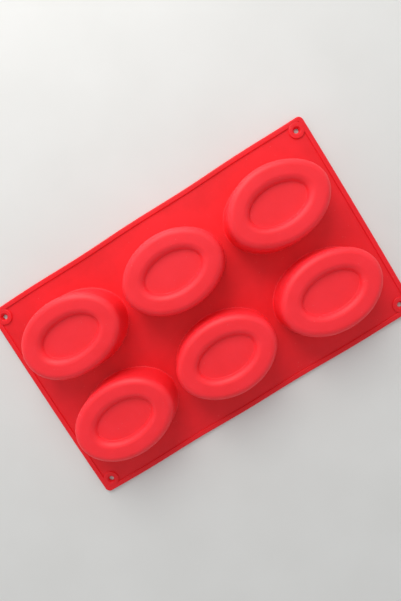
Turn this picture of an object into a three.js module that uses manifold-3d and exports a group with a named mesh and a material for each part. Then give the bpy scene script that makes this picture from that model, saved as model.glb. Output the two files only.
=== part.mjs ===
// Silicone soap mould: one red moulding with two rows of oval cavities, lying face down with the
// backs of its cavities up. Millimetres, +X along the long side, +Y along the short side, +Z up.
// The origin is the middle of the open face, which lies on z = 0 and on whatever the mould rests on.
//
// The moulding is divided along its own feature lines: a flat web with an oval opening for each
// cavity, a raised bead round its edge, a hanging eyelet in each corner, and for each cavity a side
// wall and a floor that carries a raised oval panel.

import {
  BufferAttribute, BufferGeometry, CylinderGeometry, EllipseCurve, ExtrudeGeometry, Group,
  LatheGeometry, Mesh, MeshStandardMaterial, Path, Shape, Vector2,
} from 'three';
import { mergeVertices } from 'three/addons/utils/BufferGeometryUtils.js';
import Module from 'manifold-3d';

const wasm = await Module();
wasm.setup();

// Driving dimensions -------------------------------------------------------------------------

const columns = ['left', 'middle', 'right'];
const rows = ['front', 'back'];

// Each cavity, measured outside where its wall meets the web.
const cupLength = 84;
const cupWidth = 63;
const cupHeight = 33;
const wallThickness = 1.8;
const wallDraft = 1.4;       // how far the wall leans in between the web and the floor's round edge
const floorRound = 5.2;      // outside radius between the wall and the floor

// The oval panel that the floor raises into the cavity, seen from outside as a shallow dish.
const panelEndLand = 13.6;   // flat floor between the cup's outline and the dish, at its two ends
const panelSideLand = 12.8;  // the same at its two sides
const panelDepth = 4.5;
const panelSlope = 4.6;      // how far the dish's side leans in over its depth

// The sheet round the cavities.
const columnGap = 7.8;
const rowGap = 13.4;
const endMargin = 13.7;
const sideMargin = 19.8;
const webThickness = 2;
const cornerRadius = 4;
const rimWidth = 4;
const rimHeight = 3;
const rimBevel = 0.5;
const rimInnerRadius = 1;    // inside corner of the bead

// The eyelets, which are as high as the bead.
const eyeletInset = 8.8;     // from the middle of the eyelet to both edges of the sheet
const eyeletRadius = 6.4;
const eyeletHoleRadius = 1.8;
const eyeletMouthRadius = 3.1;
const eyeletThroat = 1;      // height of the straight part of the hole
const eyeletBevel = 0.5;

const clearance = 0.3;       // gap between neighbouring solids

const ovalSegments = 40;
const roundSegments = 4;
const eyeletSegments = 24;
const cornerSegments = 6;

// Sizes that follow from them ----------------------------------------------------------------

const columnPitch = cupLength + columnGap;
const rowPitch = cupWidth + rowGap;
const mouldLength = columns.length * columnPitch - columnGap + 2 * endMargin;
const mouldWidth = rows.length * rowPitch - rowGap + 2 * sideMargin;
const floorStart = cupHeight - floorRound;

// How far out the panel's inner corners stand from its outer ones, to keep the wall's thickness
// round a side that leans in.
const panelWall = wallThickness * (Math.hypot(panelSlope, panelDepth) - panelSlope) / panelDepth;

const red = { color: 0xe0252f, roughness: 0.55, metalness: 0 };

// Shapes -------------------------------------------------------------------------------------

// A profile carried round an oval. Each point gives the oval's half length and half width there,
// and its height: the lathe turns the half lengths, and y is then drawn in to the half width.
function ovalLathe(profile) {
  const outline = profile.map(([halfLength, , z]) => new Vector2(halfLength, z));
  const geometry = new LatheGeometry(outline, ovalSegments);
  geometry.rotateX(Math.PI / 2);
  const position = geometry.attributes.position;
  for (let i = 0; i < position.count; i += 1) {
    const [halfLength, halfWidth] = profile[i % profile.length];
    if (halfLength > 0) {
      position.setY(i, position.getY(i) * halfWidth / halfLength);
    }
  }
  return closed(geometry);
}

// The same geometry with its shared vertices merged, so that it is one closed skin.
function closed(geometry) {
  geometry.deleteAttribute('normal');
  geometry.deleteAttribute('uv');
  const merged = mergeVertices(geometry, 1e-4);
  merged.computeVertexNormals();
  return merged;
}

function toSolid(geometry) {
  const merged = closed(geometry);
  return new wasm.Manifold(new wasm.Mesh({
    numProp: 3,
    vertProperties: new Float32Array(merged.attributes.position.array),
    triVerts: new Uint32Array(merged.index.array),
  }));
}

function toGeometry(solid) {
  const mesh = solid.getMesh();
  const geometry = new BufferGeometry();
  geometry.setAttribute('position', new BufferAttribute(mesh.vertProperties, 3));
  geometry.setIndex(new BufferAttribute(mesh.triVerts, 1));
  geometry.computeVertexNormals();
  return geometry;
}

// A point of the cup's outline moved in from the web outline by `inset`, on both half axes.
function cupPoint(inset, z) {
  return [cupLength / 2 - inset, cupWidth / 2 - inset, z];
}

// A quarter round of the floor's edge, from the wall up to the flat, at `inset` inside the outside.
function floorEdge(inset) {
  const radius = floorRound - inset;
  const points = [];
  for (let i = 0; i <= roundSegments; i += 1) {
    const angle = i / roundSegments * Math.PI / 2;
    const reach = wallDraft + floorRound - radius * Math.cos(angle);
    points.push(cupPoint(reach, floorStart + radius * Math.sin(angle)));
  }
  return points;
}

function roundedRectangle(target, length, width, radius) {
  const x = length / 2 - radius;
  const y = width / 2 - radius;
  target.moveTo(-x, -y - radius);
  target.lineTo(x, -y - radius);
  target.absarc(x, -y, radius, -Math.PI / 2, 0);
  target.lineTo(x + radius, y);
  target.absarc(x, y, radius, 0, Math.PI / 2);
  target.lineTo(-x, y + radius);
  target.absarc(-x, y, radius, Math.PI / 2, Math.PI);
  target.lineTo(-x - radius, -y);
  target.absarc(-x, -y, radius, Math.PI, Math.PI * 1.5);
  return target;
}

// Where things stand -------------------------------------------------------------------------

const cups = rows.flatMap((row, j) => columns.map((column, i) => ({
  name: `${row}_${column}`,
  x: (i - (columns.length - 1) / 2) * columnPitch,
  y: (j - (rows.length - 1) / 2) * rowPitch,
})));

const eyelets = [['front', -1], ['back', 1]].flatMap(([row, sideY]) => (
  [['left', -1], ['right', 1]].map(([column, sideX]) => ({
    name: `${row}_${column}`,
    x: sideX * (mouldLength / 2 - eyeletInset),
    y: sideY * (mouldWidth / 2 - eyeletInset),
  }))));

// Cuts a round seat for each eyelet through a sheet or a bead.
function cutEyeletSeats(geometry) {
  let solid = toSolid(geometry);
  for (const { x, y } of eyelets) {
    const seat = new CylinderGeometry(
      eyeletRadius + clearance, eyeletRadius + clearance, 4 * rimHeight, eyeletSegments,
    );
    seat.rotateX(Math.PI / 2);
    seat.translate(x, y, 0);
    solid = solid.subtract(toSolid(seat));
  }
  return toGeometry(solid);
}

// Sub-parts ----------------------------------------------------------------------------------

// The flat web: a thin sheet inside the bead, open at every cavity. Each of its corners is stepped
// back to the middle of the eyelet, which with the bead fills the corner.
function webSheet() {
  const x2 = mouldLength / 2 - rimWidth - clearance;
  const y2 = mouldWidth / 2 - rimWidth - clearance;
  const x1 = mouldLength / 2 - eyeletInset;
  const y1 = mouldWidth / 2 - eyeletInset;
  const outline = new Shape([
    [-x1, -y2], [x1, -y2], [x1, -y1], [x2, -y1], [x2, y1], [x1, y1],
    [x1, y2], [-x1, y2], [-x1, y1], [-x2, y1], [-x2, -y1], [-x1, -y1],
  ].map(([x, y]) => new Vector2(x, y)));
  for (const { x, y } of cups) {
    const oval = new EllipseCurve(
      x, y, cupLength / 2 + clearance, cupWidth / 2 + clearance, 0, 2 * Math.PI, true,
    );
    outline.holes.push(new Path(oval.getPoints(ovalSegments).slice(0, -1)));
  }
  const sheet = new ExtrudeGeometry(outline, { depth: webThickness, bevelEnabled: false });
  return cutEyeletSeats(sheet);
}

// The raised bead round the edge of the sheet, with its corners rounded off.
function rimBead() {
  const outline = roundedRectangle(new Shape(), mouldLength, mouldWidth, cornerRadius);
  outline.holes.push(roundedRectangle(
    new Path(), mouldLength - 2 * rimWidth, mouldWidth - 2 * rimWidth, rimInnerRadius,
  ));
  const bead = new ExtrudeGeometry(outline, {
    depth: rimHeight - 2 * rimBevel,
    bevelEnabled: true,
    bevelThickness: rimBevel,
    bevelSize: rimBevel,
    bevelOffset: -rimBevel,
    bevelSegments: 1,
    curveSegments: cornerSegments,
  });
  bead.translate(0, 0, rimBevel);
  return cutEyeletSeats(bead);
}

// An eyelet: a round boss with a hole that opens out towards its top.
function eyelet() {
  const profile = [
    [eyeletHoleRadius, 0],
    [eyeletRadius, 0],
    [eyeletRadius, rimHeight - eyeletBevel],
    [eyeletRadius - eyeletBevel, rimHeight],
    [eyeletMouthRadius, rimHeight],
    [eyeletHoleRadius, eyeletThroat],
    [eyeletHoleRadius, 0],
  ].map(([radius, z]) => new Vector2(radius, z));
  const geometry = new LatheGeometry(profile, eyeletSegments);
  geometry.rotateX(Math.PI / 2);
  return closed(geometry);
}

// A cavity's side wall: an open oval tube, straight through the web and leaning in above it.
function cavityWall() {
  const top = floorStart - clearance;
  const lean = wallDraft * (top - webThickness) / (floorStart - webThickness);
  return ovalLathe([
    cupPoint(wallThickness, 0),
    cupPoint(0, 0),
    cupPoint(0, webThickness),
    cupPoint(lean, top),
    cupPoint(lean + wallThickness, top),
    cupPoint(wallThickness, webThickness),
    cupPoint(wallThickness, 0),
  ]);
}

// A cavity's floor: a shell with a rounded edge, dished down to an oval panel in its middle.
function cavityFloor() {
  const lip = [
    cupLength / 2 - wallDraft - panelEndLand,
    cupWidth / 2 - wallDraft - panelSideLand,
  ];
  const dish = (outwards, z) => [lip[0] + outwards, lip[1] + outwards, z];
  const under = cupHeight - wallThickness;
  return ovalLathe([
    [0, 0, under - panelDepth],
    dish(panelWall - panelSlope, under - panelDepth),
    dish(panelWall, under),
    ...floorEdge(wallThickness).reverse(),
    ...floorEdge(0),
    dish(0, cupHeight),
    dish(-panelSlope, cupHeight - panelDepth),
    [0, 0, cupHeight - panelDepth],
  ]);
}

// The mould ----------------------------------------------------------------------------------

const mould = new Group();

function add(name, geometry, x = 0, y = 0) {
  const mesh = new Mesh(geometry, new MeshStandardMaterial(red));
  mesh.name = name;
  mesh.position.set(x, y, 0);
  mould.add(mesh);
}

add('web_sheet', webSheet());
add('rim_bead', rimBead());
for (const { name, x, y } of eyelets) {
  add(`eyelet_${name}`, eyelet(), x, y);
}
for (const { name, x, y } of cups) {
  add(`cavity_wall_${name}`, cavityWall(), x, y);
  add(`cavity_floor_${name}`, cavityFloor(), x, y);
}

export default mould;
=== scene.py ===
import math

import bpy
import numpy as np
from mathutils import Matrix, Vector


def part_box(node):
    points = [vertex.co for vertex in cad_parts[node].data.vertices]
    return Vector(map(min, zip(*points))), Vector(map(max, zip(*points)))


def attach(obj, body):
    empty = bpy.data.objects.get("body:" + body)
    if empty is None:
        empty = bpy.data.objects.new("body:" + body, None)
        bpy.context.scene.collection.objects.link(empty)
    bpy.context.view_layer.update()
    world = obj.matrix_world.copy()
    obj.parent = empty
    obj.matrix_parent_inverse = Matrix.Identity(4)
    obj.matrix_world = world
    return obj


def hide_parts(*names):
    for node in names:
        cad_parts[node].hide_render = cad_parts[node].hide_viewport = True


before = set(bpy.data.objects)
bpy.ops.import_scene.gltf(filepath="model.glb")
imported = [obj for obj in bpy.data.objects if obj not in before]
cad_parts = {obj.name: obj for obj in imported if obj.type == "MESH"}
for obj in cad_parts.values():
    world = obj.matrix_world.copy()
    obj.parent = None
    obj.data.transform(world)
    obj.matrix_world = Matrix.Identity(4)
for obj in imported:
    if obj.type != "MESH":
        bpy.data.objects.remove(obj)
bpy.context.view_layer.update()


# The web ------------------------------------------------------------------------------------
# The thin flat sheet between the cavities. It is moulded silicone rubber, pressed in one shot with
# everything else, from a tool blasted to a fine satin on this side. Its red is a darker copy of the
# cups' red, which is painted shade.

MM = 0.001
WEB_STEP = 1.25 * MM         # size of the web's facets
WEB_TUCK = 0.7 * MM          # how far the web stops outside a cavity's outline, under its foot
HOLE_TUCK = 5.0 * MM         # how far it stops from the middle of an eyelet, under its boss
BEAD_TUCK = 1.0 * MM         # how far it reaches into the bead

EDGE_BOW = 0.8 * MM          # outward bulge of the short edges
LONG_WAVE = 0.3 * MM         # waviness of the long edges
WAVE_RATE = 3 * math.pi      # turn of that wave, in radians from the middle to an end
WAVE_START = 0.6
LIFT = 0.35 * MM             # height of the waves that the soft sheet lies in
LIFT_RATE = (4.1, 3.3)       # turns of those waves, in radians from the middle to an edge
LIFT_START = (1.3, -0.4)
LIFT_LIMIT = 1.6             # cap on the squared distance from the middle that it grows with
SHARP = 35                   # degrees between two faces from which their edge is sharp

web_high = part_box("web_sheet")[1]
bead_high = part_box("rim_bead")[1]
half_length = bead_high.x
half_width = bead_high.y
web_top = web_high.z

EYELETS = ["front_left", "front_right", "back_left", "back_right"]
CUPS = [f"{row}_{column}" for row in ("front", "back") for column in ("left", "middle", "right")]


def middle(node):
    """The middle of a node's box, as x and y."""
    low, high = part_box(node)
    return (low.x + high.x) / 2, (low.y + high.y) / 2


cup_middles = {name: middle(f"cavity_wall_{name}") for name in CUPS}
cup_low, cup_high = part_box("cavity_wall_front_left")
cup_half = ((cup_high.x - cup_low.x) / 2, (cup_high.y - cup_low.y) / 2)


def settle(points):
    """Lays the flat mould down as the soft sheet lies. Along x, everything moves out by the bow
    times (x / half length) times (1 - (y / half width) squared). Along y, it moves by the wave
    times (y / half width) times the cosine of a turn that goes with x. It rises by the lift
    times a slow product of sines, which is nothing at the middle."""
    x, y, z = points[:, 0], points[:, 1], points[:, 2]
    along = x / half_length
    across = y / half_width
    bow = EDGE_BOW * along * (1 - across ** 2)
    wave = LONG_WAVE * across * np.cos(WAVE_RATE * along + WAVE_START)
    reach = np.clip(along ** 2 + across ** 2, 0, LIFT_LIMIT)
    roll_x = np.sin(LIFT_RATE[0] * along + LIFT_START[0])
    roll_y = np.cos(LIFT_RATE[1] * across + LIFT_START[1])
    rise = LIFT * reach * (1 + roll_x * roll_y) / 2
    return np.stack([x + bow, y + wave, z + rise], axis=1)


def make_piece(name, points, faces, materials, face_materials=None):
    """A closed mesh from an array of points and a list of faces, smooth shaded except at sharp
    edges. Its signed volume says which way the faces point, and they are turned over if that is
    inwards."""
    points = np.asarray(points, float)
    fans = np.array([(face[0], face[i], face[i + 1])
                     for face in faces for i in range(1, len(face) - 1)])
    a, b, c = points[fans[:, 0]], points[fans[:, 1]], points[fans[:, 2]]
    if np.einsum("ij,ij->i", a, np.cross(b, c)).sum() < 0:
        faces = [face[::-1] for face in faces]
    mesh = bpy.data.meshes.new(name)
    mesh.from_pydata(points.tolist(), [], faces)
    for material in materials:
        mesh.materials.append(material)
    if face_materials is not None:
        mesh.polygons.foreach_set("material_index", face_materials)
    mesh.polygons.foreach_set("use_smooth", [True] * len(faces))
    mesh.set_sharp_from_angle(angle=math.radians(SHARP))
    mesh.update()
    piece = bpy.data.objects.new(name, mesh)
    bpy.context.scene.collection.objects.link(piece)
    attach(piece, "root")
    return piece


def node_group(name, inputs, outputs):
    """An empty shader node group with the named sockets: inputs as (name, kind, default)."""
    group = bpy.data.node_groups.new(name, "ShaderNodeTree")
    for label, kind, default in inputs:
        socket = group.interface.new_socket(name=label, in_out="INPUT", socket_type=kind)
        socket.default_value = default
    for label, kind in outputs:
        group.interface.new_socket(name=label, in_out="OUTPUT", socket_type=kind)
    return group, group.nodes.new("NodeGroupInput"), group.nodes.new("NodeGroupOutput")


def node(tree, kind, settings=None, **values):
    """Adds a node, sets its attributes and fills or links the inputs named in `values`."""
    made = tree.nodes.new(kind)
    for key, value in (settings or {}).items():
        setattr(made, key, value)
    for key, value in values.items():
        label = int(key[1:]) if key[1:].isdigit() else key.replace("_", " ")
        socket = made.inputs[label]
        if isinstance(value, bpy.types.NodeSocket):
            tree.links.new(value, socket)
        else:
            socket.default_value = value
    return made


MIDDLING_SHARE = 0.4         # shares of the two noises in the mottle
BROAD_SHARE = 0.6
TONE_SPAN = (0.36, 0.64)     # noise over which the tone goes from deep to bright
CORE_SPAN = (0.05, 0.17)     # distance from the middle of a speck over which it fades
DRIFT_SCALE = 150.0
DRIFT_SPAN = (0.56, 0.64)    # noise over which the specks come in


def build_mottle():
    """Slow changes of tone, as in a pigment that isn't mixed quite evenly: two noises, broad and
    middling, mixed and stretched round one half."""
    group, enter, leave = node_group(
        "silicone_mottle",
        [("Broad", "NodeSocketFloat", 18.0), ("Middling", "NodeSocketFloat", 90.0)],
        [("Tone", "NodeSocketFloat")])
    place = node(group, "ShaderNodeTexCoord")
    broad = node(group, "ShaderNodeTexNoise", Vector=place.outputs["Object"],
                 Scale=enter.outputs["Broad"], Detail=2.0, Roughness=0.5)
    middling = node(group, "ShaderNodeTexNoise", Vector=place.outputs["Object"],
                    Scale=enter.outputs["Middling"], Detail=3.0, Roughness=0.55)
    weighed = node(group, "ShaderNodeMath", {"operation": "MULTIPLY"},
                   _0=broad.outputs["Fac"], _1=BROAD_SHARE)
    mixed = node(group, "ShaderNodeMath", {"operation": "MULTIPLY_ADD"},
                 _0=middling.outputs["Fac"], _1=MIDDLING_SHARE, _2=weighed.outputs[0])
    tone = node(group, "ShaderNodeMapRange", {"clamp": True}, Value=mixed.outputs[0], **{
        "From_Min": TONE_SPAN[0], "From_Max": TONE_SPAN[1], "To_Min": 0.0, "To_Max": 1.0})
    group.links.new(tone.outputs[0], leave.inputs["Tone"])
    return group


def build_dust():
    """Sparse pale specks of dust and lint: the cores of the cells of a fine cell pattern, kept
    only where a second noise is high."""
    group, enter, leave = node_group(
        "silicone_dust",
        [("Scale", "NodeSocketFloat", 420.0), ("Amount", "NodeSocketFloat", 0.5)],
        [("Mask", "NodeSocketFloat")])
    place = node(group, "ShaderNodeTexCoord")
    cells = node(group, "ShaderNodeTexVoronoi", Vector=place.outputs["Object"],
                 Scale=enter.outputs["Scale"], Randomness=1.0)
    core = node(group, "ShaderNodeMapRange", {"clamp": True}, Value=cells.outputs["Distance"], **{
        "From_Min": CORE_SPAN[0], "From_Max": CORE_SPAN[1], "To_Min": 1.0, "To_Max": 0.0})
    drift = node(group, "ShaderNodeTexNoise", Vector=place.outputs["Object"], Scale=DRIFT_SCALE,
                 Detail=4.0, Roughness=0.7)
    kept = node(group, "ShaderNodeMapRange", {"clamp": True}, Value=drift.outputs["Fac"], **{
        "From_Min": DRIFT_SPAN[0], "From_Max": DRIFT_SPAN[1], "To_Min": 0.0, "To_Max": 1.0})
    both = node(group, "ShaderNodeMath", {"operation": "MULTIPLY"}, _0=core.outputs[0],
                _1=kept.outputs[0])
    mask = node(group, "ShaderNodeMath", {"operation": "MULTIPLY"}, _0=both.outputs[0],
                _1=enter.outputs["Amount"])
    group.links.new(mask.outputs[0], leave.inputs["Mask"])
    return group


def build_grain():
    """The texture that the tool leaves: a fine noise for the blasted satin, over a weak, slower
    one for the way rubber flows and shrinks."""
    group, enter, leave = node_group(
        "moulded_grain",
        [("Fine", "NodeSocketFloat", 2600.0), ("Flow", "NodeSocketFloat", 130.0),
         ("Flow Share", "NodeSocketFloat", 0.5)],
        [("Height", "NodeSocketFloat")])
    place = node(group, "ShaderNodeTexCoord")
    fine = node(group, "ShaderNodeTexNoise", Vector=place.outputs["Object"],
                Scale=enter.outputs["Fine"], Detail=2.0, Roughness=0.6)
    flow = node(group, "ShaderNodeTexNoise", Vector=place.outputs["Object"],
                Scale=enter.outputs["Flow"], Detail=2.0, Roughness=0.5)
    height = node(group, "ShaderNodeMix", {"data_type": "FLOAT"}, _0=enter.outputs["Flow Share"],
                  _2=fine.outputs["Fac"], _3=flow.outputs["Fac"])
    group.links.new(height.outputs[0], leave.inputs["Height"])
    return group


mottle_group = build_mottle()
dust_group = build_dust()
grain_group = build_grain()

DUST_COLOUR = (0.85, 0.32, 0.30, 1)
DUST_ROUGHENS = 0.3          # how much rougher a speck is than the rubber
ROUGHNESS_SPREAD = 0.035     # change of roughness each way with the mottle
GRAIN_HEIGHT = 0.12 * MM
REFRACTION = 1.41            # silicone rubber's index
SCATTER = 0.3                # share of the light that goes in and comes out nearby
SCATTER_SHARES = (1.0, 0.10, 0.07)  # how far its red, green and blue go, by the reach
SCATTER_REACH = 1.2 * MM


def silicone(name, deep, bright, roughness, grain, dust):
    """Red silicone rubber: the deep and the bright red mixed by the mottle, paled by the dust,
    with a roughness that follows both, a bump from the grain and a little light let into it."""
    material = bpy.data.materials.new(name)
    material.use_nodes = True
    tree = material.node_tree
    shader = tree.nodes["Principled BSDF"]
    mottle = node(tree, "ShaderNodeGroup", {"node_tree": mottle_group})
    specks = node(tree, "ShaderNodeGroup", {"node_tree": dust_group}, Amount=dust)
    relief = node(tree, "ShaderNodeGroup", {"node_tree": grain_group})
    red = node(tree, "ShaderNodeMix", {"data_type": "RGBA"}, _0=mottle.outputs["Tone"],
               _6=(*deep, 1), _7=(*bright, 1))
    dusted = node(tree, "ShaderNodeMix", {"data_type": "RGBA"}, _0=specks.outputs["Mask"],
                  _6=red.outputs[2], _7=DUST_COLOUR)
    rough = node(tree, "ShaderNodeMapRange", Value=mottle.outputs["Tone"], **{
        "From_Min": 0.0, "From_Max": 1.0, "To_Min": roughness - ROUGHNESS_SPREAD,
        "To_Max": roughness + ROUGHNESS_SPREAD})
    rougher = node(tree, "ShaderNodeMath", {"operation": "MULTIPLY_ADD", "use_clamp": True},
                   _0=specks.outputs["Mask"], _1=DUST_ROUGHENS, _2=rough.outputs[0])
    bump = node(tree, "ShaderNodeBump", Strength=grain, Distance=GRAIN_HEIGHT,
                Height=relief.outputs["Height"])
    tree.links.new(dusted.outputs[2], shader.inputs["Base Color"])
    tree.links.new(rougher.outputs[0], shader.inputs["Roughness"])
    tree.links.new(bump.outputs["Normal"], shader.inputs["Normal"])
    shader.inputs["IOR"].default_value = REFRACTION
    shader.inputs["Subsurface Weight"].default_value = SCATTER
    shader.inputs["Subsurface Radius"].default_value = SCATTER_SHARES
    shader.inputs["Subsurface Scale"].default_value = SCATTER_REACH
    return material


# The web, bead and eyelets take a darker copy of the cups' red: painted shade. Their grain is also
# stronger.
satin = silicone("satin_red_silicone_painted_shade", deep=(0.76, 0.006, 0.013), bright=(0.84, 0.009, 0.019),
                 roughness=0.50, grain=0.34, dust=0.40)
# The cups' outside takes a brighter, paler copy of the web's red: painted light and painted sheen.
smooth = silicone("smooth_red_silicone_painted_light", deep=(0.89, 0.019, 0.029), bright=(0.95, 0.024, 0.038),
                  roughness=0.52, grain=0.26, dust=0.40)
polished = silicone("polished_red_silicone", deep=(0.82, 0.009, 0.017), bright=(0.89, 0.012, 0.023),
                    roughness=0.22, grain=0.06, dust=0.15)


def web_faces(x, y):
    """Which facets of the grid are kept: those outside every cavity's oval and every eyelet's
    hole, by the middle of the facet."""
    u = (x[:-1] + x[1:]) / 2
    v = (y[:-1] + y[1:]) / 2
    u, v = np.meshgrid(u, v, indexing="ij")
    keep = np.ones(u.shape, bool)
    for cx, cy in cup_middles.values():
        far_x = (u - cx) / (cup_half[0] + WEB_TUCK)
        far_y = (v - cy) / (cup_half[1] + WEB_TUCK)
        keep &= far_x ** 2 + far_y ** 2 > 1
    for name in EYELETS:
        ex, ey = middle(f"eyelet_{name}")
        keep &= (u - ex) ** 2 + (v - ey) ** 2 > HOLE_TUCK ** 2
    return keep


def build_web():
    """A slab on a grid of x and y: its top at the web's height and its underside at nothing,
    joined by a wall wherever a kept facet has no kept neighbour."""
    x_end = web_high.x + BEAD_TUCK
    y_end = web_high.y + BEAD_TUCK
    x = np.linspace(-x_end, x_end, int(2 * x_end / WEB_STEP) + 1)
    y = np.linspace(-y_end, y_end, int(2 * y_end / WEB_STEP) + 1)
    keep = web_faces(x, y)
    nx, ny = len(x), len(y)
    gx, gy = np.meshgrid(x, y, indexing="ij")
    flat = np.stack([gx.ravel(), gy.ravel()], axis=1)
    top = np.column_stack([flat, np.full(len(flat), web_top)])
    under = np.column_stack([flat, np.zeros(len(flat))])
    points = np.concatenate([top, under])
    i, j = np.nonzero(keep)
    corner = i * ny + j
    quads = np.stack([corner, corner + ny, corner + ny + 1, corner + 1], axis=1)
    below = quads[:, ::-1] + nx * ny
    padded = np.pad(keep, 1)
    walls = []
    # For each side of a facet: the step to its neighbour, and the two corners on that side.
    for di, dj, a, b in ((-1, 0, 0, 1), (1, 0, ny + 1, ny), (0, -1, ny, 0), (0, 1, 1, ny + 1)):
        edge = keep & ~padded[1 + di:nx + di, 1 + dj:ny + dj]
        p, q = np.nonzero(edge)
        start, stop = p * ny + q + a, p * ny + q + b
        walls.append(np.stack([start, stop, stop + nx * ny, start + nx * ny], axis=1))
    faces = np.concatenate([quads, below, *walls])
    used = np.unique(faces)
    renumber = np.zeros(len(points), int)
    renumber[used] = np.arange(len(used))
    return settle(points[used]), renumber[faces].tolist()


web_points, web_quads = build_web()
# The web takes the darker red, which is painted shade.
web = make_piece("web", web_points, web_quads, [satin])
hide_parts("web_sheet")


# The bead -----------------------------------------------------------------------------------
# The raised, rounded edge that stiffens the sheet and keeps spills on it. It is the same shot of
# silicone, with small round corners and a crease where it drops to the web.

BEAD_WIDTH = 4.0 * MM
BEAD_CORNER = 4.1 * MM       # outside corner, seen from above
BEAD_OUTER_ROUND = 0.9 * MM
BEAD_INNER_ROUND = 0.45 * MM
BEAD_FOOT_CUT = 0.35 * MM    # round of its outer foot
BEAD_DRAFT = 0.1 * MM        # how far its outer side leans out towards the top
BEAD_BURY = 0.8 * MM         # how far its inner foot goes down into the web
BEAD_HEEL = (1.2 * MM, 0.2 * MM)  # corner under the web, from the inner side and from the table
FINE_ARC = 6                 # steps in a small round
SECTION_STEP = 1.0 * MM
CORNER_STEPS = 12
SIDE_STEP = 4.0 * MM


def soften(corners, cuts, arc_steps, step):
    """A smooth profile from a polyline. Each corner with a cut is replaced by a circular arc that
    starts and ends that far from it: a rational quadratic curve whose middle weight is the cosine
    of half the angle turned. Straight stretches are divided into pieces no longer than `step`.
    The corners may have any number of coordinates."""
    corners = np.asarray(corners, float)
    pieces = [corners[:1]]
    last = corners[0]
    for before, here, after, cut in zip(corners[:-2], corners[1:-1], corners[2:], cuts):
        into = (here - before) / np.linalg.norm(here - before)
        out = (after - here) / np.linalg.norm(after - here)
        start, stop = here - cut * into, here + cut * out
        count = max(1, math.ceil(np.linalg.norm(start - last) / step))
        share = np.linspace(0, 1, count + 1)[1:, None]
        pieces.append(last + (start - last) * share)
        if cut > 0:
            weight = math.sqrt((1 + float(into @ out)) / 2)
            t = np.linspace(0, 1, arc_steps + 1)[1:, None]
            parts = (1 - t) ** 2, 2 * weight * t * (1 - t), t ** 2
            pieces.append((parts[0] * start + parts[1] * here + parts[2] * stop) / sum(parts))
        last = stop
    count = max(1, math.ceil(np.linalg.norm(corners[-1] - last) / step))
    share = np.linspace(0, 1, count + 1)[1:, None]
    pieces.append(last + (corners[-1] - last) * share)
    return np.concatenate(pieces)


def ring_quads(rings, around, closed=False):
    """Quads between neighbouring rings of `around` points each. Rings wrap round, and when
    `closed` the last ring is joined to the first."""
    first = np.arange(rings if closed else rings - 1)[:, None]
    here = np.arange(around)[None, :]
    after = (here + 1) % around
    next_ring = (first + 1) % rings
    quads = [first * around + here, first * around + after, next_ring * around + after,
             next_ring * around + here]
    return np.stack(np.broadcast_arrays(*quads), axis=-1).reshape(-1, 4)


def bead_path():
    """The outline of the sheet as points and outward normals: straight sides joined by quarter
    circles, whose middles are one corner radius in from both edges."""
    x = half_length - BEAD_CORNER
    y = half_width - BEAD_CORNER
    turn = np.linspace(0, math.pi / 2, CORNER_STEPS + 1)
    middles, angles = [], []
    corners = ((x, y, 0), (-x, y, 1), (-x, -y, 2), (x, -y, 3))
    for (cx, cy, quarter), (nx, ny, _) in zip(corners, corners[1:] + corners[:1]):
        middles.append(np.tile([cx, cy], (len(turn), 1)))
        angles.append(turn + quarter * math.pi / 2)
        count = int(math.hypot(nx - cx, ny - cy) / SIDE_STEP)
        share = np.linspace(0, 1, count + 1)[1:-1, None]
        middles.append(np.array([cx, cy]) + share * np.array([nx - cx, ny - cy]))
        angles.append(np.full(len(share), (quarter + 1) * math.pi / 2))
    middles, angles = np.concatenate(middles), np.concatenate(angles)
    normals = np.stack([np.cos(angles), np.sin(angles)], axis=1)
    return middles, normals


def build_bead():
    """A cross-section carried round the outline: at each point of the section, the path's corner
    middle plus the outward normal times (corner radius - inset), at the section's height."""
    top = bead_high.z
    corners = [
        (BEAD_WIDTH / 2, 0), (BEAD_DRAFT, 0), (0, top), (BEAD_WIDTH, top),
        (BEAD_WIDTH, web_top - BEAD_BURY), (BEAD_WIDTH - BEAD_HEEL[0], BEAD_HEEL[1]),
        (BEAD_WIDTH / 2, 0),
    ]
    cuts = [BEAD_FOOT_CUT, BEAD_OUTER_ROUND, BEAD_INNER_ROUND, 0, 0]
    section = soften(corners, cuts, FINE_ARC, SECTION_STEP)[:-1]
    middles, normals = bead_path()
    inset, height = section[:, 0], section[:, 1]
    flat = middles[None] + normals[None] * (BEAD_CORNER - inset)[:, None, None]
    tall = np.broadcast_to(height[:, None, None], (len(section), len(middles), 1))
    points = np.concatenate([flat, tall], axis=2).reshape(-1, 3)
    return settle(points), ring_quads(len(section), len(middles), closed=True).tolist()


bead_points, bead_quads = build_bead()
bead = make_piece("bead", bead_points, bead_quads, [satin])
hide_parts("rim_bead")


# The eyelets --------------------------------------------------------------------------------
# A round boss in each corner, level with the bead, with a funnel-shaped hole to hang the mould
# up by. It is part of the same moulding, and its mouth has a soft lip.

EYELET_PROUD = 0.12 * MM     # how far the boss stands above the bead
EYELET_ROUND = 0.6 * MM
MOUTH = 3.1 * MM             # radius at the top of the funnel
THROAT = 1.8 * MM            # radius of the straight part of the hole
THROAT_HEIGHT = 0.9 * MM
LIP_CUT = 0.35 * MM          # rounds of the funnel's lip, of its bottom and of the throat's foot
FUNNEL_CUT = 0.4 * MM
THROAT_CUT = 0.3 * MM
EYELET_HEEL = (0.4 * MM, 1.0 * MM)  # bevel at the boss's foot: inwards, and up
EYELET_TURNS = 64


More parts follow.
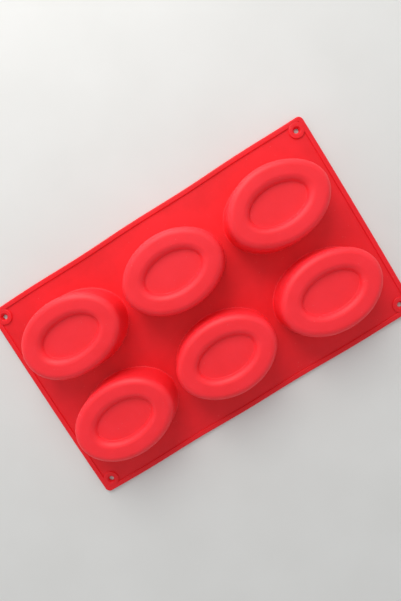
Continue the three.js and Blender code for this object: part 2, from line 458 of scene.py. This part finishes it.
def build_eyelet(name):
    """A closed section turned about the eyelet's upright middle line: every point of the section
    is a radius and a height, set at equal angles round the middle."""
    cx, cy = middle(f"eyelet_{name}")
    low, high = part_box(f"eyelet_{name}")
    outside = (high.x - low.x) / 2
    top = high.z + EYELET_PROUD
    corners = [
        ((outside + THROAT) / 2, 0), (outside - EYELET_HEEL[0], 0), (outside, EYELET_HEEL[1]),
        (outside, top), (MOUTH, top), (THROAT, THROAT_HEIGHT), (THROAT, 0),
        ((outside + THROAT) / 2, 0),
    ]
    cuts = [0, 0, EYELET_ROUND, LIP_CUT, FUNNEL_CUT, THROAT_CUT]
    section = soften(corners, cuts, FINE_ARC, SECTION_STEP)[:-1]
    angle = np.arange(EYELET_TURNS) * 2 * math.pi / EYELET_TURNS
    radius, height = section[:, :1], section[:, 1:]
    points = np.stack([cx + radius * np.cos(angle), cy + radius * np.sin(angle),
                       np.broadcast_to(height, (len(section), EYELET_TURNS))], axis=-1)
    quads = ring_quads(len(section), EYELET_TURNS, closed=True)
    return settle(points.reshape(-1, 3)), quads.tolist()


for name in EYELETS:
    eyelet_points, eyelet_quads = build_eyelet(name)
    eyelet = make_piece(f"boss_{name}", eyelet_points, eyelet_quads, [satin])
    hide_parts(f"eyelet_{name}")


# The cavities -------------------------------------------------------------------------------
# Six oval cups, each a wall and a floor in one skin of silicone. Outside they are smooth, with a
# soft foot, a round upper edge and a shallow oval dish, and their red is a brighter, paler copy of
# the web's: painted light and painted sheen. Inside the tool was polished, and the dish stands up
# as an oval panel that presses a hollow into the bar.

WALL = 1.8 * MM
FOOT_ROUND = 0.8 * MM        # hollow round between the web and the wall
FLANGE = 1.0 * MM            # flat skirt of the foot, which runs out into the web
FLANGE_LIFT = 0.02 * MM      # how far it stands over the web at its inner end
FLANGE_DIP = 0.05 * MM       # how far it has sunk into the web at its outer end
FLANGE_BURY = 0.6 * MM       # how far its outer edge goes down into the web
MOUTH_FLANGE = 1.2 * MM      # skirt of the mouth on the open face, past the round edge
MOUTH_RISE = 0.6 * MM        # how far that skirt's edge goes up into the web
MOUTH_ROUND = 1.0 * MM       # round edge of the cavity's mouth, on the open face
EDGE_ROUND = 5.4 * MM        # round upper edge, from the wall to the land
LIP_IN = 2.2 * MM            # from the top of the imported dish's straight side to the lip's corner
DISH_SLOPE = 1.64 * MM       # how far the dish's side leans in over its depth, below the lip
LIP_ROUND = 6.0 * MM         # radius of the edge between the land and the dish's side
DISH_ROUND = 0.7 * MM        # radius of the hollow between the dish's side and its floor
AROUND = 144
PROFILE_STEP = 2.2 * MM
OUTER_ARC = 12               # steps in each round of the outside, and of the inside
INNER_ARC = 8
BOTH_HALVES = np.array([math.sqrt(0.5), math.sqrt(0.5), 1])
DENT = 0.28 * MM             # how far the soft cup leaves its true shape
LEAN = 0.45 * MM             # how far its upper edge leans to one side
WAVES = 3                    # number of waves that dent the oval
SLOWEST = 2                  # turns of the slowest of them round it
SAG = 0.8                    # rise and fall of the land, as a share of the dent
FIRST_SEED = 11

floor_low, floor_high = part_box("cavity_floor_front_left")
crown_half = ((floor_high.x - floor_low.x) / 2, (floor_high.y - floor_low.y) / 2)
cup_top = floor_high.z


def dish_of(name):
    """The half length and half width of the lip of the dish in a cavity floor, and its depth: the
    nearest points of the top plane on the node's two axes, and the highest one in the middle."""
    near = 0.01 * MM
    points = np.array([vertex.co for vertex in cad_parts[name].data.vertices])
    points[:, :2] -= middle(name)
    top = points[points[:, 2] > cup_top - near]
    end = np.abs(top[np.abs(top[:, 1]) < near, 0]).min()
    side = np.abs(top[np.abs(top[:, 0]) < near, 1]).min()
    centre = points[np.hypot(points[:, 0], points[:, 1]) < near]
    return (end, side), cup_top - centre[:, 2].max()


dish_half, dish_depth = dish_of("cavity_floor_front_left")
lip_half = (dish_half[0] - LIP_IN, dish_half[1] - LIP_IN)

# A round of radius r on a corner that turns by an angle starts r times the tangent of half that
# angle from the corner, and a shell's inner corner stands off by its thickness times the same.
HALF_TURN = (math.hypot(DISH_SLOPE, dish_depth) - DISH_SLOPE) / dish_depth


def oval(half, out, height):
    """A corner of a profile: an oval's half length and half width, both let out, and a height."""
    return half[0] + out, half[1] + out, height


def soften_oval(corners, cuts, arc_steps):
    """`soften` for a profile of half lengths, half widths and heights. The two halves are first
    scaled by the square root of a half, so that a step of d out on both of them counts as d."""
    return soften(np.asarray(corners) * BOTH_HALVES, cuts, arc_steps, PROFILE_STEP) / BOTH_HALVES


def outer_profile():
    """From the skirt on the web up the wall, over the edge and the land and down into the dish."""
    on_web = web_top + FLANGE_LIFT
    skirt = FOOT_ROUND + FLANGE
    corners = [
        oval(cup_half, skirt, web_top - FLANGE_BURY), oval(cup_half, skirt, web_top - FLANGE_DIP),
        oval(cup_half, 0, on_web), oval(crown_half, 0, cup_top), oval(lip_half, 0, cup_top),
        oval(lip_half, -DISH_SLOPE, cup_top - dish_depth), (0, 0, cup_top - dish_depth),
    ]
    cuts = [0, FOOT_ROUND, EDGE_ROUND, LIP_ROUND * HALF_TURN, DISH_ROUND * HALF_TURN]
    return soften_oval(corners, cuts, OUTER_ARC)


def inner_profile():
    """From the middle of the panel out over it, down into the channel, and down the wall to the
    mouth, whose round edge runs out along the open face and up into the web."""
    under = cup_top - WALL
    skirt = MOUTH_ROUND + MOUTH_FLANGE
    out = WALL * HALF_TURN
    corners = [
        (0, 0, under - dish_depth), oval(lip_half, out - DISH_SLOPE, under - dish_depth),
        oval(lip_half, out, under), oval(crown_half, -WALL, under),
        oval(cup_half, -WALL, -FLANGE_LIFT), oval(cup_half, -WALL + skirt, -FLANGE_LIFT),
        oval(cup_half, -WALL + skirt, MOUTH_RISE),
    ]
    cuts = [(DISH_ROUND + WALL) * HALF_TURN, (LIP_ROUND - WALL) * HALF_TURN, EDGE_ROUND - WALL,
            MOUTH_ROUND, 0]
    return soften_oval(corners, cuts, INNER_ARC)


def build_cup(name, seed):
    """The two profiles carried round an oval: at angle u a profile point lies at (half length
    times cos u, half width times sin u, height) from the cup's middle. Its share of the cup's
    height, h, then lets it leave that shape: it leans by the lean times h squared, and moves in
    or out by the dent times h (2 - h) times three slow waves round the oval, and the land rises
    and falls a little."""
    random = np.random.default_rng(seed)
    cx, cy = cup_middles[name]
    outer, inner = outer_profile()[:-1], inner_profile()[1:]
    profile = np.concatenate([outer, inner])
    u = np.arange(AROUND) * 2 * math.pi / AROUND
    x = profile[:, :1] * np.cos(u)
    y = profile[:, 1:2] * np.sin(u)
    z = np.broadcast_to(profile[:, 2:], x.shape)
    share = np.clip((z - web_top) / (cup_top - web_top), 0, 1)
    phase = random.uniform(0, 2 * math.pi, 5)
    size = random.uniform(0.5, 1, 5)
    waves = sum(size[k] * np.sin((k + SLOWEST) * u + phase[k]) for k in range(WAVES)) / 2
    out = 1 + DENT * share * (2 - share) * waves / crown_half[1]
    lean_angle = random.uniform(0, 2 * math.pi)
    lean_x = LEAN * math.cos(lean_angle) * share ** 2
    lean_y = LEAN * math.sin(lean_angle) * share ** 2
    far = np.hypot(x / crown_half[0], y / crown_half[1])
    tip = size[3] * np.sin(2 * u + phase[3]) + size[4] * np.sin(u + phase[4])
    sag = DENT * share ** 4 * far * tip * SAG
    ring_points = np.stack([cx + x * out + lean_x, cy + y * out + lean_y, z + sag], axis=-1)
    dish, panel = len(outer) - 1, len(outer)
    dish_floor = cup_top - dish_depth
    poles = np.array([[cx + lean_x[dish, 0], cy + lean_y[dish, 0], dish_floor],
                      [cx + lean_x[panel, 0], cy + lean_y[panel, 0], dish_floor - WALL]])
    points = settle(np.concatenate([ring_points.reshape(-1, 3), poles]))
    rings = len(profile)
    quads = ring_quads(rings, AROUND, closed=True).reshape(rings, AROUND, 4)
    # One pair of rings isn't joined by quads: the dish's last and the panel's first, each of
    # which closes on its own pole instead.
    kept = np.delete(quads, dish, axis=0).reshape(-1, 4)
    here = np.arange(AROUND)
    after = (here + 1) % AROUND
    outer_pole, inner_pole = len(points) - 2, len(points) - 1
    first = dish * AROUND
    dish_fan = np.stack([first + here, first + after, np.full(AROUND, outer_pole)], axis=1)
    first = panel * AROUND
    panel_fan = np.stack([first + after, first + here, np.full(AROUND, inner_pole)], axis=1)
    faces = kept.tolist() + dish_fan.tolist() + panel_fan.tolist()
    outside = np.arange(len(kept)) < dish * AROUND
    shine = np.concatenate([np.where(outside, 0, 1), np.zeros(AROUND, int), np.ones(AROUND, int)])
    return points, faces, shine


for seed, name in enumerate(CUPS, FIRST_SEED):
    cup_points, cup_faces, shine = build_cup(name, seed)
    # The outside takes the brighter, paler red, which is painted light and painted sheen.
    cup = make_piece(f"cup_{name}", cup_points, cup_faces, [smooth, polished], shine)
    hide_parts(f"cavity_wall_{name}", f"cavity_floor_{name}")


# The table ----------------------------------------------------------------------------------
# A plain pale surface that the mould lies on.

FLOOR_HALF = 2.5             # metres
FLOOR_DARK = (0.67, 0.665, 0.645, 1)
FLOOR_PALE = (0.74, 0.738, 0.722, 1)
CLOUD_SCALE = 14.0
FLOOR_ROUGHNESS = 0.7


def pale_floor():
    """A matt off-white, with the faintest broad cloudiness."""
    material = bpy.data.materials.new("pale_table")
    material.use_nodes = True
    tree = material.node_tree
    place = node(tree, "ShaderNodeTexCoord")
    cloud = node(tree, "ShaderNodeTexNoise", Vector=place.outputs["Object"], Scale=CLOUD_SCALE,
                 Detail=3.0)
    tint = node(tree, "ShaderNodeMix", {"data_type": "RGBA"}, _0=cloud.outputs["Fac"],
                _6=FLOOR_DARK, _7=FLOOR_PALE)
    tree.links.new(tint.outputs[2], tree.nodes["Principled BSDF"].inputs["Base Color"])
    tree.nodes["Principled BSDF"].inputs["Roughness"].default_value = FLOOR_ROUGHNESS
    return material


floor_mesh = bpy.data.meshes.new("table")
floor_corners = [(-FLOOR_HALF, -FLOOR_HALF, 0), (FLOOR_HALF, -FLOOR_HALF, 0),
                 (FLOOR_HALF, FLOOR_HALF, 0), (-FLOOR_HALF, FLOOR_HALF, 0)]
floor_mesh.from_pydata(floor_corners, [], [(0, 1, 2, 3)])
floor_mesh.materials.append(pale_floor())
table = bpy.data.objects.new("table", floor_mesh)
bpy.context.scene.collection.objects.link(table)


# Light and camera ---------------------------------------------------------------------------
# A broad window light from behind the long side and a weaker one lower down, under a soft pale
# sky. The camera looks almost straight down from above the middle, turned on its own axis.

CAMERA_AT = Vector((27.2, 28.9, 365.4)) * MM
CAMERA_AIM = Vector((4.4, 7.05, 0)) * MM
CAMERA_UP = Vector((0.529, 0.845, 0))
CAMERA_LENS = 26.95          # millimetres
CAMERA_FRAME = 36            # the taller side of its frame, in millimetres
CAMERA_NEAR = 10 * MM

WINDOW_AT = (0.13, 0.76, 0.64)
WINDOW_SIZE = 0.55
WINDOW_POWER = 5.6
LOW_WINDOW_AT = (0.02, 1.00, 0.30)
LOW_WINDOW_SIZE = 0.5
LOW_WINDOW_POWER = 2.2
DAYLIGHT = (1.0, 0.99, 0.97)
LAMP_UP = Vector((0, 0.01, 1))      # a hair off upright, so that no lamp looks along it

HORIZON = 0.96               # strength of the sky low down
OVERHEAD = 0.46
WINDOW_SIDE = 0.25           # share by which it is stronger towards the window, and weaker away
SKY_COLOUR = (0.97, 0.985, 1.0, 1)


def look(position, aim, up):
    """The matrix of a camera or lamp at `position` that looks at `aim` with `up` upwards."""
    back = (position - aim).normalized()
    right = up.cross(back).normalized()
    columns = Matrix((right, back.cross(right), back)).transposed()
    return Matrix.Translation(position) @ columns.to_4x4()


def soft_light(name, position, size, power):
    """A square area lamp aimed at the mould."""
    lamp = bpy.data.lights.new(name, "AREA")
    lamp.shape = "SQUARE"
    lamp.size = size
    lamp.energy = power
    lamp.color = DAYLIGHT
    light = bpy.data.objects.new(name, lamp)
    light.matrix_world = look(Vector(position), Vector((0, 0, 0)), LAMP_UP)
    bpy.context.scene.collection.objects.link(light)


soft_light("window", WINDOW_AT, WINDOW_SIZE, WINDOW_POWER)
soft_light("low_window", LOW_WINDOW_AT, LOW_WINDOW_SIZE, LOW_WINDOW_POWER)


def soft_sky():
    """A pale dome: its strength goes from the horizon's to the overhead one with the height of the
    direction looked in, and is greater on the window's side than on the other by a share that
    goes with y."""
    world = bpy.data.worlds.new("sky")
    world.use_nodes = True
    tree = world.node_tree
    place = node(tree, "ShaderNodeTexCoord")
    direction = node(tree, "ShaderNodeSeparateXYZ", _0=place.outputs["Generated"])
    strength = node(tree, "ShaderNodeMapRange", {"clamp": True}, Value=direction.outputs["Z"], **{
        "From_Min": 0.0, "From_Max": 1.0, "To_Min": HORIZON, "To_Max": OVERHEAD})
    side = node(tree, "ShaderNodeMath", {"operation": "MULTIPLY_ADD"},
                _0=direction.outputs["Y"], _1=WINDOW_SIDE, _2=1.0)
    both = node(tree, "ShaderNodeMath", {"operation": "MULTIPLY"}, _0=strength.outputs[0],
                _1=side.outputs[0])
    background = tree.nodes["Background"]
    background.inputs["Color"].default_value = SKY_COLOUR
    tree.links.new(both.outputs[0], background.inputs["Strength"])
    return world


bpy.context.scene.world = soft_sky()

lens = bpy.data.cameras.new("camera")
lens.lens = CAMERA_LENS
lens.sensor_width = CAMERA_FRAME
lens.clip_start = CAMERA_NEAR
camera = bpy.data.objects.new("camera", lens)
camera.matrix_world = look(CAMERA_AT, CAMERA_AIM, CAMERA_UP)
bpy.context.scene.collection.objects.link(camera)
bpy.context.scene.camera = camera
bpy.context.scene.view_settings.view_transform = "Standard"

bpy.context.view_layer.update()
